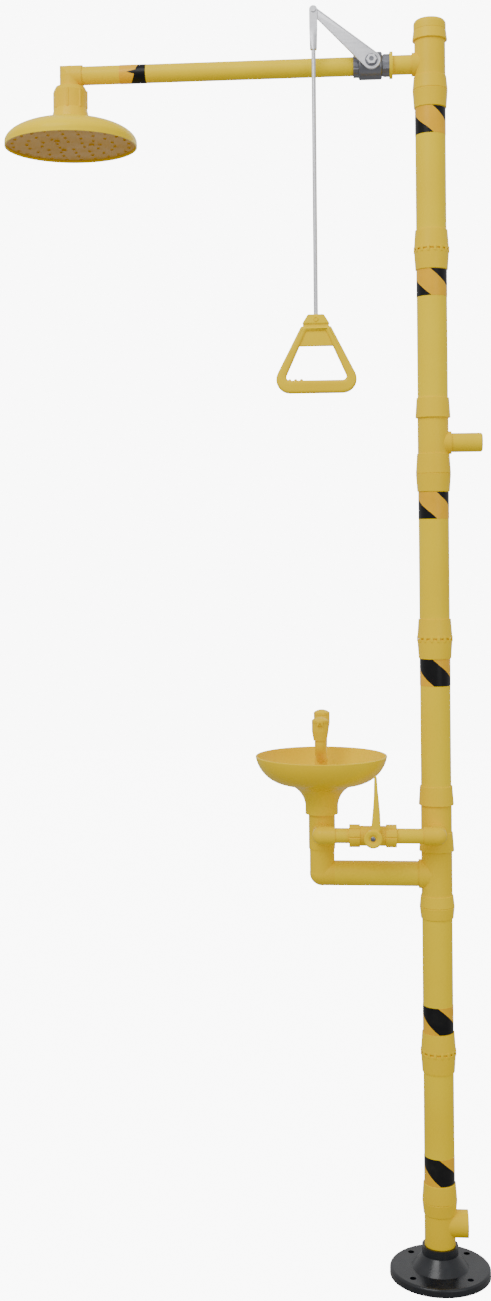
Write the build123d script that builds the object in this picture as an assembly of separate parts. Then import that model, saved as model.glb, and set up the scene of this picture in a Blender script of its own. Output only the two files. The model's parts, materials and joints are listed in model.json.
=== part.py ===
from build123d import *
import math
import os

# Combination emergency shower with eyewash. Millimetres. The column stands on Z, its foot's
# underside is z = 0, the shower arm and the eyewash reach to -X and the feed pipe runs in front, at -Y.

# Heights of axes and joints above the floor
outlet_height = 96
lower_joint_height = 421
drain_height = 756
feed_height = 838
middle_joint_height = 1200
inlet_height = 1569
upper_joint_height = 1932
arm_height = 2283
grip_height = 1663
rim_height = 979

# Column and its fittings
column_od = 57
column_wall = 3.5
glue_gap = 0.1
socket_depth = 20
fitting_wall = 4
bead_rise = 4
bead_taper = 2.5
stop_half = 2
coupling_half = 37
coupling_groove = 3
bead_round = 1.2
collar_length = 34
seal_section = 1
seal_gap = 0.05
outlet_tee_top = 44
outlet_stub_od = 50
outlet_reach = 53
outlet_thread_r = 20
drain_tee_bottom = 83
drain_tee_top = 44
drain_bead = 44
feed_tee_top = 85
feed_bead = 36
plug_thickness = 14
inlet_tee_bottom = 58
inlet_tee_top = 85
inlet_bead = 38
inlet_od = 36
inlet_wall = 3.5
inlet_reach = 92
inlet_chamfer = 2.5
inlet_shoulder = 1
top_tee_bottom = 50
top_tee_top = 77
top_bead = 26
boss_rise = 5
boss_wall = 3.5
cap_height = 40
cap_top_thickness = 6

# Foot
foot_radius = 95
foot_thickness = 15
foot_cone_radius = 54
foot_neck_wall = 5
foot_neck_start = 40
foot_top = 56
foot_socket_floor = 20
foot_bolt_circle = 150
foot_bolt_radius = 6
foot_bolt_count = 4

# Shower arm and head
arm_od = 35
arm_wall = 2.5
arm_reach = 686
nipple_od = 36
nipple_flange_radius = 25
nipple_flange_length = 6
elbow_wall = 2.5
elbow_leg = 24
elbow_swell = 0.25
spout_length = 52
head_nut_radius = 32
head_nut_length = 42
head_nut_drop = 22
head_nut_lobes = 8
head_nut_lobe_radius = 2.5
head_nut_taper = 4
head_radius = 127
head_dome = 52
head_rim = 7
head_wall = 3
head_collar_radius = 36
head_collar_taper = 4
head_drop = 136
plate_thickness = 3
plate_recess = 3
plate_hole_radius = 2
plate_rings = 4
plate_screw_radius = 2.6
plate_screw_circle = 40
plate_screw_count = 3
plate_post_radius = 5
plate_thread_radius = 2
plate_pilot = 10
plate_screw_head = 2
plate_edge = 12

# Shower valve, lever and pull rod
shower_valve_x = -110
shower_valve_length = 68
shower_valve_end_length = 10
shower_cavity_gap = 1.5
shower_body_wall = 4.5
shower_port_radius = 19.5
shower_bore = 12.5
shower_ball_radius = 19.5
ball_gap = 0.3
seat_thickness = 4
stem_clearance = 0.1
square_clearance = 0.2
shower_stem_radius = 6
shower_boss_radius = 11
shower_boss_rise = 8.5
hexagon_rise = 2.5
hexagon_length = 12
lever_gap = 1
lever_thickness = 5
lever_length = 145
lever_angle = 42
lever_hub_radius = 17
lever_tip_radius = 6.5
lever_square = 9
nut_across = 17
nut_height = 8
pin_radius = 3
pin_head_radius = 5
pin_head_height = 2.5
ear_gap = 0.4
ear_thickness = 3
fork_width = 15
fork_above = 8
fork_slot = 34
fork_length = 74
rod_radius = 4
rod_socket = 14
fork_shank_wall = 2.5

# Pull handle
handle_height = 147
handle_half_width = 76
handle_depth = 18
handle_top_half = 15
handle_shoulder_half = 28
handle_shoulder_height = 125
handle_side_height = 31
handle_corner = 26
grip_thickness = 24
handle_opening_top = 88
handle_opening_top_half = 31
handle_opening_bottom_half = 60
handle_opening_corner = 5
handle_edge = 5
grip_ridge_radius = 2.2
grip_ridge_pitch = 12
grip_ridge_count = 3

# Eyewash drain
eyewash_reach = 216
drain_od = 47
drain_wall = 2.5
riser_tee_od = 50
riser_tee_below = 35
riser_tee_above = 31
riser_spigot = 22
bowl_radius = 125
bowl_wall = 3.5
bowl_bulge_in = 16
bowl_bulge_drop = 33
bowl_flare = 7
bowl_rim_round = 1.4
bowl_floor_in = 55
bowl_floor_drop = 53
bowl_neck_radius = 31
bowl_neck_length = 16
throat_radius = 20
strainer_radius = 36
strainer_thickness = 3
strainer_hole_radius = 2.5
strainer_hole_count = 12
strainer_ring_step = 4

# Eyewash feed
feed_od = 28
feed_wall = 2.5
feed_stand_off = 20
feed_elbow_wall = 2.5
feed_elbow_leg = 26
feed_socket = 14
feed_boss_rise = 9
feed_tube_od = 18
feed_tube_wall = 2
eyewash_valve_x = -120
eyewash_valve_length = 88
eyewash_body_radius = 18.5
eyewash_nut_radius = 21
eyewash_nut_length = 20
eyewash_nut_sides = 8
eyewash_nut_groove = 2
eyewash_bore = 10.5
eyewash_ball_radius = 14.5
eyewash_seat_thickness = 3
eyewash_stem_radius = 5
eyewash_boss_radius = 9
eyewash_boss_top = 25
eyewash_hub_radius = 17
eyewash_hub_thickness = 10
eyewash_hub_recess = 7
eyewash_lever_length = 116
eyewash_lever_belly = 9
eyewash_lever_tip = 3
eyewash_lever_offset = 5
eyewash_lever_thickness = 6
eyewash_square = 7

# Eyewash nozzles
stem_radius = 12.5
stem_top = 972
nozzle_spread = 64
nozzle_arm_radius = 10.5
nozzle_arm_wall = 3
nozzle_arm_bend = 18
nozzle_socket = 12
nozzle_arm_drop = 16
stem_below = 8
tube_lap = 20
nozzle_base = 1016
nozzle_neck_radius = 12.5
nozzle_radius = 15.5
nozzle_height = 43
nozzle_wall = 2
insert_thickness = 3
insert_hole_radius = 1.2
insert_hole_count = 6
cap_gap = 0.4
cap_dome = 10
cap_plate = 4
cap_lug_radius = 1.6
cap_lug_width = 4
cap_ear_radius = 2.4
cap_ear_width = 3
cap_pin_radius = 1.2

# Hazard tape
tape_length = 50
tape_thickness = 0.35
tape_gap = 0.05
arm_tape_from_head = 97
tape_edge_gap = 1

column_r = column_od / 2
column_bore = column_r - column_wall
socket_r = column_r + glue_gap
fitting_r = column_bore + fitting_wall
bead_r = fitting_r + bead_rise
eyewash_x = -eyewash_reach
head_x = -arm_reach
drain_bore = drain_od / 2 - drain_wall
feed_bore = feed_od / 2 - feed_wall
outlet_collar_z = outlet_height + outlet_tee_top
inlet_collar_z = inlet_height - inlet_tee_bottom - collar_length
top_collar_z = arm_height - top_tee_bottom - collar_length
feed_tee_low = drain_height + drain_tee_top
feed_offset = fitting_r + feed_boss_rise + feed_stand_off
bowl_bulge_radius = bowl_radius - bowl_bulge_in
bowl_floor_radius = bowl_radius - bowl_floor_in
shower_cavity_r = shower_ball_radius + shower_cavity_gap
shower_body_radius = shower_cavity_r + shower_body_wall
shower_boss_top = shower_body_radius + shower_boss_rise
lever_y = -(shower_boss_top + lever_gap + lever_thickness / 2)
eye_x = shower_valve_x - lever_length * math.cos(math.radians(lever_angle))
eye_z = arm_height + lever_length * math.sin(math.radians(lever_angle))
nozzle_top = nozzle_base + nozzle_height


def rod_between(start, end, radius):
    """Solid round bar from one point to another."""
    a, b = Vector(*start), Vector(*end)
    plane = Plane(origin=(a + b) / 2, z_dir=b - a)
    return plane * Cylinder(radius, (b - a).length)


def tube_between(start, end, outer, inner):
    return rod_between(start, end, outer) - rod_between(start, end, inner)


def ring(outer, inner, low, high):
    """Hollow round sleeve about Z."""
    return tube_between((0, 0, low), (0, 0, high), outer, inner)


def turned(points):
    """Solid turned about Z from radius and height pairs."""
    outline = Polyline(*[(r, 0, z) for r, z in points], close=True)
    return revolve(make_face(outline), Axis.Z)


def turned_section(curves):
    """Solid turned about Z from a closed half section of curves in radius and height."""
    section = make_face([edge for curve in curves for edge in curve.edges()])
    return revolve(Plane.XZ * section, Axis.Z)


def bead(low, high, wide_end):
    """Outer form of a socket bead, full radius at its wide end and tapered towards the other."""
    narrow = bead_r - bead_taper
    bottom, top = (bead_r, narrow) if wide_end == "low" else (narrow, bead_r)
    form = turned([(0, low), (bottom, low), (top, high), (0, high)])
    return fillet(form.edges().filter_by(GeomType.CIRCLE), bead_round)


def elbow(centre, first, second, outer, bore):
    """Tight moulded elbow: a slightly fuller ball at the corner and a leg to each end point."""
    solid = Pos(*centre) * Sphere(outer + elbow_swell)
    hollow = Pos(*centre) * Sphere(bore + elbow_swell)
    for end in (first, second):
        solid += rod_between(centre, end, outer)
        hollow += rod_between(centre, end, bore)
    return solid - hollow


def base_flange():
    neck = fitting_r + glue_gap + foot_neck_wall
    form = turned([(0, 0), (foot_radius, 0), (foot_radius, foot_thickness),
                   (foot_cone_radius, foot_thickness), (neck, foot_neck_start), (neck, foot_top),
                   (0, foot_top)])
    rounded = [e for e in form.edges().filter_by(GeomType.CIRCLE)
               if e.radius > foot_radius - 1 and e.center().Z > foot_thickness / 2]
    form = fillet(rounded, foot_thickness / 3)
    form -= rod_between((0, 0, foot_socket_floor), (0, 0, foot_top), fitting_r + glue_gap)
    for place in PolarLocations(foot_bolt_circle / 2, foot_bolt_count, start_angle=45):
        form -= place * Pos(0, 0, foot_thickness / 2) * Cylinder(foot_bolt_radius, foot_thickness)
    return form


def outlet_tee():
    top = outlet_height + outlet_tee_top
    bead_low = top - socket_depth - fitting_wall
    form = rod_between((0, 0, foot_socket_floor), (0, 0, bead_low), fitting_r)
    form += bead(bead_low, top, "high")
    form += rod_between((0, 0, outlet_height), (outlet_reach, 0, outlet_height), outlet_stub_od / 2)
    floor = outlet_height - outlet_thread_r - fitting_wall
    form -= rod_between((0, 0, floor), (0, 0, top - socket_depth), column_bore)
    form -= rod_between((0, 0, top - socket_depth), (0, 0, top), socket_r)
    return form - rod_between((0, 0, outlet_height), (outlet_reach, 0, outlet_height), outlet_thread_r)


def socket_cut(low, high):
    return rod_between((0, 0, low), (0, 0, high), socket_r)


def drain_tee():
    low = drain_height - drain_tee_bottom
    spigot_top = feed_tee_low + socket_depth
    middle = low + drain_bead / 2
    form = rod_between((0, 0, low), (0, 0, feed_tee_low), fitting_r)
    form += bead(low, middle, "high") + bead(middle, low + drain_bead, "low")
    form += rod_between((0, 0, feed_tee_low), (0, 0, spigot_top), column_r)
    boss_r = drain_od / 2 + boss_wall
    form += rod_between((0, 0, drain_height), (-fitting_r - boss_rise, 0, drain_height), boss_r)
    form -= rod_between((0, 0, low), (0, 0, spigot_top), column_bore)
    form -= socket_cut(low, low + socket_depth)
    reach = fitting_r + boss_rise
    return form - rod_between((0, 0, drain_height), (-reach, 0, drain_height), drain_od / 2 + glue_gap)


def supply_plug():
    """Blanks the column off between the drain below and the supply above."""
    high = feed_tee_low + socket_depth - 1
    form = rod_between((0, 0, high - plug_thickness), (0, 0, high), column_bore - glue_gap)
    return chamfer(form.edges().filter_by(GeomType.CIRCLE), 1)


def feed_tee():
    high = feed_height + feed_tee_top
    low_bead = feed_height - feed_tee_low - feed_wall
    form = rod_between((0, 0, feed_tee_low), (0, 0, high), fitting_r)
    form += bead(feed_tee_low, feed_tee_low + low_bead, "low") + bead(high - feed_bead, high, "low")
    boss_end = -fitting_r - feed_boss_rise
    form += rod_between((0, 0, feed_height), (0, boss_end, feed_height), feed_od / 2 + boss_wall)
    form -= rod_between((0, 0, feed_tee_low), (0, 0, high), column_bore)
    form -= socket_cut(feed_tee_low, feed_tee_low + socket_depth) + socket_cut(high - socket_depth, high)
    return form - rod_between((0, 0, feed_height), (0, boss_end, feed_height), feed_od / 2 + glue_gap)


def inlet_tee():
    low, high = inlet_height - inlet_tee_bottom, inlet_height + inlet_tee_top
    form = rod_between((0, 0, low), (0, 0, high), fitting_r)
    form += bead(low, low + inlet_bead, "low") + bead(high - inlet_bead, high, "low")
    reach = fitting_r + boss_rise
    form += rod_between((0, 0, inlet_height), (reach, 0, inlet_height), inlet_od / 2 + boss_wall)
    form -= rod_between((0, 0, low), (0, 0, high), column_bore)
    form -= socket_cut(low, low + socket_depth) + socket_cut(high - socket_depth, high)
    socket = inlet_od / 2 - inlet_shoulder + glue_gap
    return form - rod_between((0, 0, inlet_height), (reach, 0, inlet_height), socket)


def inlet_nipple():
    """Hose stub, turned down where it enters the tee so that its shoulder stops at the boss."""
    start = math.sqrt(column_bore ** 2 - (inlet_od / 2) ** 2) + 1
    shoulder = fitting_r + boss_rise + glue_gap
    form = rod_between((shoulder, 0, inlet_height), (inlet_reach, 0, inlet_height), inlet_od / 2)
    end_edge = form.edges().filter_by(GeomType.CIRCLE).sort_by(Axis.X)[-1]
    form = chamfer(end_edge, inlet_chamfer)
    form += rod_between((start, 0, inlet_height), (shoulder, 0, inlet_height), inlet_od / 2 - inlet_shoulder)
    bore = inlet_od / 2 - inlet_wall
    return form - rod_between((start, 0, inlet_height), (inlet_reach, 0, inlet_height), bore)


def top_tee():
    low, high = arm_height - top_tee_bottom, arm_height + top_tee_top
    form = rod_between((0, 0, low), (0, 0, high), fitting_r)
    form += bead(low, low + top_bead, "low")
    reach = fitting_r + boss_rise
    form += rod_between((0, 0, arm_height), (-reach, 0, arm_height), nipple_od / 2 + boss_wall)
    form -= rod_between((0, 0, low), (0, 0, high), column_bore)
    form -= socket_cut(low, low + socket_depth)
    return form - rod_between((0, 0, arm_height), (-reach, 0, arm_height), nipple_od / 2 + glue_gap)


def top_cap():
    high = arm_height + top_tee_top + cap_top_thickness
    low = high - cap_height
    form = bead(low, low + cap_height / 2, "low")
    form += rod_between((0, 0, low + cap_height / 2), (0, 0, high), bead_r - bead_taper)
    crown = form.edges().filter_by(GeomType.CIRCLE).sort_by(Axis.Z)[-1]
    form = fillet(crown, cap_height / 4)
    return form - rod_between((0, 0, low), (0, 0, arm_height + top_tee_top), fitting_r + glue_gap)


def coupling(height):
    """Sleeve with two beads, an outer groove between them and a stop rib for the two pipe ends."""
    low, high, gap = height - coupling_half, height + coupling_half, coupling_groove / 2
    form = rod_between((0, 0, low), (0, 0, high), bead_r - bead_taper)
    form -= ring(bead_r + 1, fitting_r + 1, height - gap, height + gap)
    form += bead(low, height - gap, "high") + bead(height + gap, high, "low")
    form -= rod_between((0, 0, low), (0, 0, high), column_bore)
    form -= socket_cut(low, height - stop_half) + socket_cut(height + stop_half, high)
    for seal_z in coupling_seal_heights(height):
        form -= seal_groove(seal_z)
    return form


def coupling_seal_heights(height):
    offset = coupling_half * 2 / 3
    return [height - offset, height + offset]


def seal_groove(seal_z):
    reach = column_r + 2 * seal_section + 2 * seal_gap
    return ring(reach, column_r, seal_z - seal_section - seal_gap, seal_z + seal_section + seal_gap)


def seal(seal_z):
    return Pos(0, 0, seal_z) * Torus(column_r + seal_section + seal_gap, seal_section)


def union_collar(low, wide_end):
    form = bead(low, low + collar_length, wide_end)
    form -= socket_cut(low, low + collar_length)
    return form - seal_groove(low + collar_length / 2)


def joint_seals():
    heights = [z + collar_length / 2 for z in (outlet_collar_z, inlet_collar_z, top_collar_z)]
    for joint in (lower_joint_height, middle_joint_height, upper_joint_height):
        heights += coupling_seal_heights(joint)
    return [seal(z) for z in heights]


def column_pipes():
    """Pipe lengths of the column, each reaching to the stops of the two fittings that hold it."""
    drain_low = drain_height - drain_tee_bottom
    feed_high = feed_height + feed_tee_top
    inlet_low, inlet_high = inlet_height - inlet_tee_bottom, inlet_height + inlet_tee_top
    spans = {
        "foot_pipe": (outlet_collar_z - socket_depth, lower_joint_height - stop_half),
        "lower_pipe": (lower_joint_height + stop_half, drain_low + socket_depth),
        "middle_pipe": (feed_high - socket_depth, middle_joint_height - stop_half),
        "waist_pipe": (middle_joint_height + stop_half, inlet_low + socket_depth),
        "upper_pipe": (inlet_high - socket_depth, upper_joint_height - stop_half),
        "top_pipe": (upper_joint_height + stop_half, arm_height - top_tee_bottom + socket_depth),
    }
    return {name: ring(column_r, column_bore, low, high) for name, (low, high) in spans.items()}


def hazard_tapes():
    """Bands of warning tape: six on the column and one on the arm."""
    edge = tape_edge_gap
    lows = [outlet_collar_z + collar_length + edge,
            lower_joint_height + coupling_half + edge,
            middle_joint_height - coupling_half - edge - tape_length,
            inlet_collar_z - edge - tape_length,
            upper_joint_height - coupling_half - edge - tape_length,
            top_collar_z - edge - tape_length]
    inner = column_r + tape_gap
    bands = [ring(inner + tape_thickness, inner, low, low + tape_length) for low in lows]
    arm_inner = arm_od / 2 + tape_gap
    start = head_x + arm_tape_from_head
    bands.append(tube_between((start, 0, arm_height), (start + tape_length, 0, arm_height),
                              arm_inner + tape_thickness, arm_inner))
    return bands


def arm_nipple():
    start = -math.sqrt(column_bore ** 2 - (nipple_od / 2) ** 2) - 1
    end = shower_valve_x + shower_valve_length / 2
    form = rod_between((start, 0, arm_height), (end, 0, arm_height), nipple_od / 2)
    flange = end + nipple_flange_length
    form += rod_between((end, 0, arm_height), (flange, 0, arm_height), nipple_flange_radius)
    return form - rod_between((start, 0, arm_height), (end, 0, arm_height), shower_bore)


def ball(centre, radius, bore, slot):
    form = Pos(*centre) * (Sphere(radius) - Rot(0, 90, 0) * Cylinder(bore, 3 * radius))
    width = slot + square_clearance
    return form - Pos(centre[0], centre[1] - radius, centre[2]) * Box(width, slot, width)


def stem(centre, ball_radius, radius, square, boss_top, lever_end, thread_end):
    """Valve stem pointing to -Y: tang in the ball, round shaft, square for the lever, threaded end."""
    x, y, z = centre
    tang_start = y - ball_radius + square / 2 - square_clearance
    tang_end = y - ball_radius - ball_gap
    form = Pos(x, (tang_start + tang_end) / 2, z) * Box(square, tang_start - tang_end, square)
    form += rod_between((x, tang_end, z), (x, y - boss_top, z), radius)
    form += Pos(x, y - (boss_top + lever_end) / 2, z) * Box(square, lever_end - boss_top, square)
    if thread_end > lever_end:
        form += rod_between((x, y - lever_end, z), (x, y - thread_end, z), square / 2)
    return form


def seats(centre, radius, bore, thickness, outer):
    """Two plastic rings that close against the ball, one each side."""
    near, far = radius - thickness, radius - 1
    seat = tube_between((-far, 0, 0), (-near, 0, 0), outer, bore) - Sphere(radius + ball_gap)
    return [Pos(*centre) * seat, Pos(*centre) * Rot(0, 0, 180) * seat]


shower_centre = (shower_valve_x, 0, arm_height)
shower_cavity_half = shower_ball_radius - 1
eyewash_centre = (eyewash_valve_x, -feed_offset, feed_height)
eyewash_cavity_r = eyewash_ball_radius + 1
eyewash_cavity_half = eyewash_ball_radius - 1


def shower_valve_body():
    x, half = shower_valve_x, shower_valve_length / 2
    left = x - half + shower_valve_end_length
    barrel_end = x + shower_cavity_half + seat_thickness / 2
    form = rod_between((left, 0, arm_height), (barrel_end, 0, arm_height), shower_body_radius)
    form = fillet(form.edges().filter_by(GeomType.CIRCLE), seat_thickness)
    form += rod_between((left, 0, arm_height), (x + half, 0, arm_height), shower_port_radius)
    hexagon = extrude(RegularPolygon(shower_port_radius + hexagon_rise, 6), hexagon_length)
    form += Pos(x + half - hexagon_length, 0, arm_height) * Rot(0, 90, 0) * hexagon
    form += rod_between(shower_centre, (x, -shower_boss_top, arm_height), shower_boss_radius)
    form -= rod_between((left, 0, arm_height), (x + half, 0, arm_height), shower_bore)
    form -= rod_between((left, 0, arm_height), (x + shower_cavity_half, 0, arm_height), shower_cavity_r)
    return form - rod_between(shower_centre, (x, -shower_boss_top, arm_height),
                              shower_stem_radius + stem_clearance)


def shower_valve_end():
    """Screwed end piece: spigot in the body, hexagon outside, and the arm butts against it."""
    x = shower_valve_x - shower_valve_length / 2
    spigot_end = shower_valve_x - shower_cavity_half
    hexagon = extrude(RegularPolygon(shower_port_radius + hexagon_rise, 6), shower_valve_end_length)
    form = Pos(x, 0, arm_height) * Rot(0, 90, 0) * hexagon
    form += rod_between((x, 0, arm_height), (spigot_end, 0, arm_height), shower_cavity_r - glue_gap)
    return form - rod_between((x, 0, arm_height), (spigot_end, 0, arm_height), shower_bore)


def valve_seats():
    shower = seats(shower_centre, shower_ball_radius, shower_bore, seat_thickness, shower_cavity_r - glue_gap)
    eyewash = seats(eyewash_centre, eyewash_ball_radius, eyewash_bore, eyewash_seat_thickness,
                    eyewash_cavity_r - glue_gap)
    return shower + eyewash


def shower_lever():
    """Flat lever from the valve stem up to the eye that carries the pull rod."""
    hub = (shower_valve_x, arm_height)
    angle = math.radians(180 - lever_angle)
    spread = math.acos((lever_hub_radius - lever_tip_radius) / lever_length)

    def rim(centre, radius, turn):
        return (centre[0] + radius * math.cos(angle + turn), centre[1] + radius * math.sin(angle + turn))

    eye = (eye_x, eye_z)
    corners = [rim(hub, lever_hub_radius, spread), rim(eye, lever_tip_radius, spread),
               rim(eye, lever_tip_radius, -spread), rim(hub, lever_hub_radius, -spread)]
    back = lever_y + lever_thickness / 2
    plane = Plane(origin=(0, back, 0), x_dir=(1, 0, 0), z_dir=(0, -1, 0))
    blade = plane * make_face(Polyline(*corners, close=True))
    form = extrude(blade, lever_thickness)
    form += rod_between((hub[0], back, hub[1]), (hub[0], back - lever_thickness, hub[1]), lever_hub_radius)
    form += rod_between((eye_x, back, eye_z), (eye_x, back - lever_thickness, eye_z), lever_tip_radius)
    width = lever_square + square_clearance
    form -= Pos(hub[0], lever_y, hub[1]) * Box(width, lever_thickness, width)
    return form - rod_between((eye_x, back, eye_z), (eye_x, back - lever_thickness, eye_z),
                              pin_radius + stem_clearance)


def shower_lever_nut():
    x, back = shower_valve_x, lever_y - lever_thickness / 2
    form = extrude(RegularPolygon(nut_across / 2, 6, major_radius=False), nut_height)
    form = Pos(x, back, arm_height) * Rot(90, 0, 0) * form
    return form - rod_between((x, back, arm_height), (x, back - nut_height, arm_height),
                              (lever_square + stem_clearance) / 2)


def pull_pin():
    half = lever_thickness / 2 + ear_gap + ear_thickness
    front, back = lever_y - half - ball_gap, lever_y + half + ball_gap
    head, rivet = front - pin_head_height, back + pin_head_height / 2
    form = rod_between((eye_x, front, eye_z), (eye_x, back, eye_z), pin_radius)
    form += rod_between((eye_x, front, eye_z), (eye_x, head, eye_z), pin_head_radius)
    return form + rod_between((eye_x, back, eye_z), (eye_x, rivet, eye_z), pin_head_radius)


def rod_clevis():
    """Fork that straddles the lever's eye and tapers down to the pull rod."""
    half = lever_thickness / 2 + ear_gap + ear_thickness
    shank = rod_radius + fork_shank_wall
    low, slot_low = eye_z - fork_length, eye_z - fork_slot
    head = Pos(eye_x, lever_y, (slot_low + eye_z) / 2) * Box(fork_width, 2 * half, eye_z - slot_low)
    head += rod_between((eye_x, lever_y - half, eye_z), (eye_x, lever_y + half, eye_z), fork_width / 2)
    top_face = Plane(origin=(eye_x, lever_y, slot_low)) * Rectangle(fork_width, 2 * half)
    low_face = Plane(origin=(eye_x, lever_y, low)) * Circle(shank)
    form = head + loft([low_face, top_face])
    slot = lever_thickness + 2 * ear_gap
    slot_high = eye_z + fork_above
    form -= Pos(eye_x, lever_y, (slot_low + slot_high) / 2) * Box(fork_width, slot, slot_high - slot_low)
    near, far = (eye_x, lever_y - half, eye_z), (eye_x, lever_y + half, eye_z)
    form -= rod_between(near, far, pin_radius + stem_clearance)
    socket_top = low + rod_socket
    return form - rod_between((eye_x, lever_y, low), (eye_x, lever_y, socket_top), rod_radius + glue_gap)


def pull_rod():
    low = grip_height + handle_height - rod_socket
    high = eye_z - fork_length + rod_socket
    return rod_between((eye_x, lever_y, low), (eye_x, lever_y, high), rod_radius)


def pull_handle():
    """Triangular handle with a thick grip bar, a solid head for the rod and rounded edges."""
    back = lever_y + handle_depth / 2
    plane = Plane(origin=(eye_x, back, grip_height), x_dir=(1, 0, 0), z_dir=(0, -1, 0))
    slope = (handle_half_width - handle_shoulder_half) / (handle_shoulder_height - handle_side_height)
    foot_half = handle_half_width + slope * handle_side_height
    half_outline = [(handle_top_half, handle_height), (handle_shoulder_half, handle_shoulder_height),
                    (foot_half, 0)]
    outline = [(-x, z) for x, z in reversed(half_outline)] + half_outline
    face = make_face(Polyline(*outline, close=True))
    face = fillet(face.vertices().sort_by(Axis.Y)[:2], handle_corner)
    opening = [(-handle_opening_top_half, handle_opening_top), (handle_opening_top_half, handle_opening_top),
               (handle_opening_bottom_half, grip_thickness), (-handle_opening_bottom_half, grip_thickness)]
    hole = make_face(Polyline(*opening, close=True))
    hole = fillet(hole.vertices(), handle_opening_corner)
    form = extrude(plane * (face - hole), handle_depth)
    form = fillet(form.edges().filter_by(Plane.XZ), handle_edge)
    for n in range(grip_ridge_count):
        x = eye_x - handle_opening_bottom_half + handle_opening_corner + grip_ridge_pitch * (n + 0.5)
        place = Pos(x, lever_y, grip_height + grip_thickness)
        form += place * Rot(90, 0, 0) * Cylinder(grip_ridge_radius, handle_depth - 2 * handle_edge)
    top = grip_height + handle_height
    socket_low = top - rod_socket
    return form - rod_between((eye_x, lever_y, socket_low), (eye_x, lever_y, top), rod_radius + glue_gap)


def shower_arm():
    start = head_x + elbow_leg - socket_depth / 2
    end = shower_valve_x - shower_valve_length / 2
    return tube_between((start, 0, arm_height), (end, 0, arm_height), arm_od / 2, arm_od / 2 - arm_wall)


def arm_elbow():
    """Elbow at the arm's end; its lower leg is the threaded spout that the head screws on."""
    outer = arm_od / 2 + glue_gap + elbow_wall
    bore = arm_od / 2 - arm_wall
    leg = head_x + elbow_leg
    spout = arm_height - spout_length
    form = elbow((head_x, 0, arm_height), (leg, 0, arm_height), (head_x, 0, arm_height - head_nut_drop),
                 outer, bore)
    corner = rod_between((head_x - outer, 0, arm_height), (head_x, 0, arm_height), outer)
    form += corner & rod_between((head_x, 0, arm_height), (head_x, 0, arm_height + outer), outer)
    form -= Pos(head_x, 0, arm_height) * Sphere(bore + elbow_swell)
    form += tube_between((head_x, 0, arm_height), (head_x, 0, spout), arm_od / 2, bore)
    form -= rod_between((head_x, 0, arm_height), (head_x, 0, spout), bore)
    form -= rod_between((head_x, 0, arm_height), (leg, 0, arm_height), bore)
    socket = leg - socket_depth / 2
    return form - rod_between((socket, 0, arm_height), (leg, 0, arm_height), arm_od / 2 + glue_gap)


head_z = arm_height - head_drop
nut_top = arm_height - head_nut_drop
nut_low = nut_top - head_nut_length


def head_nut():
    """Lobed union nut that holds the head to the spout."""
    shoulder = nut_top - 2 * head_nut_taper
    form = turned([(0, nut_low), (head_nut_radius, nut_low), (head_nut_radius, shoulder),
                   (head_nut_radius - head_nut_taper, nut_top), (0, nut_top)])
    for place in PolarLocations(head_nut_radius - head_nut_lobe_radius / 3, head_nut_lobes):
        lobe = Cylinder(head_nut_lobe_radius, shoulder - nut_low)
        form += place * Pos(0, 0, (nut_low + shoulder) / 2) * lobe
    form -= rod_between((0, 0, nut_low), (0, 0, nut_top), arm_od / 2 + glue_gap)
    return Pos(head_x, 0, 0) * form


def head_shell():
    """Domed shell, open below, with a collar that the union nut clamps."""
    rim_top, dome_top = head_z + head_rim, head_z + head_dome
    spout_hole = arm_od / 2 + glue_gap
    arc = EllipticalCenterArc((0, rim_top), head_radius, dome_top - rim_top, start_angle=0, arc_size=72)
    collar_low = dome_top + head_collar_taper / 2
    outside = [arc, Polyline(arc @ 1, (head_collar_radius, collar_low),
                             (head_collar_radius - head_collar_taper, nut_low), (0, nut_low), (0, head_z),
                             (head_radius, head_z), (head_radius, rim_top))]
    inner_radius, inner_rise = head_radius - head_wall, dome_top - rim_top - head_wall
    inner_arc = EllipticalCenterArc((0, rim_top), inner_radius, inner_rise, start_angle=0, arc_size=75)
    inside = [inner_arc, Polyline(inner_arc @ 1, (0, (inner_arc @ 1).Y), (0, head_z), (inner_radius, head_z),
                                  (inner_radius, rim_top))]
    form = turned_section(outside)
    form -= turned_section(inside)
    form -= rod_between((0, 0, head_z), (0, 0, nut_low), spout_hole)
    post_low = head_z + plate_recess + plate_thickness
    for place in PolarLocations(plate_screw_circle, plate_screw_count):
        post_high = dome_top - head_wall + 1
        post = Pos(0, 0, (post_low + post_high) / 2) * Cylinder(plate_post_radius, post_high - post_low)
        pilot = Pos(0, 0, post_low + plate_pilot / 2) * Cylinder(plate_thread_radius, plate_pilot)
        form = form + place * (post - pilot)
    return Pos(head_x, 0, 0) * form


def spray_plate():
    """Perforated plate in the head's mouth."""
    radius = head_radius - head_wall - glue_gap
    form = Cylinder(radius, plate_thickness)
    step = (radius - plate_edge) / plate_rings
    for n in range(1, plate_rings + 1):
        for place in PolarLocations(step * n, 6 * n, start_angle=30):
            form -= place * Cylinder(plate_hole_radius, plate_thickness)
    for place in PolarLocations(plate_screw_circle, plate_screw_count):
        form -= place * Cylinder(plate_screw_radius, plate_thickness)
    return Pos(head_x, 0, head_z + plate_recess + plate_thickness / 2) * form


def spray_plate_screws():
    length = plate_thickness + plate_pilot - plate_screw_head
    head = Pos(0, 0, -plate_screw_head / 2) * Cylinder(plate_post_radius, plate_screw_head)
    screw = head + Pos(0, 0, length / 2) * Cylinder(plate_thread_radius, length)
    centre = Pos(head_x, 0, head_z + plate_recess)
    return [centre * place * screw for place in PolarLocations(plate_screw_circle, plate_screw_count)]


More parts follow.
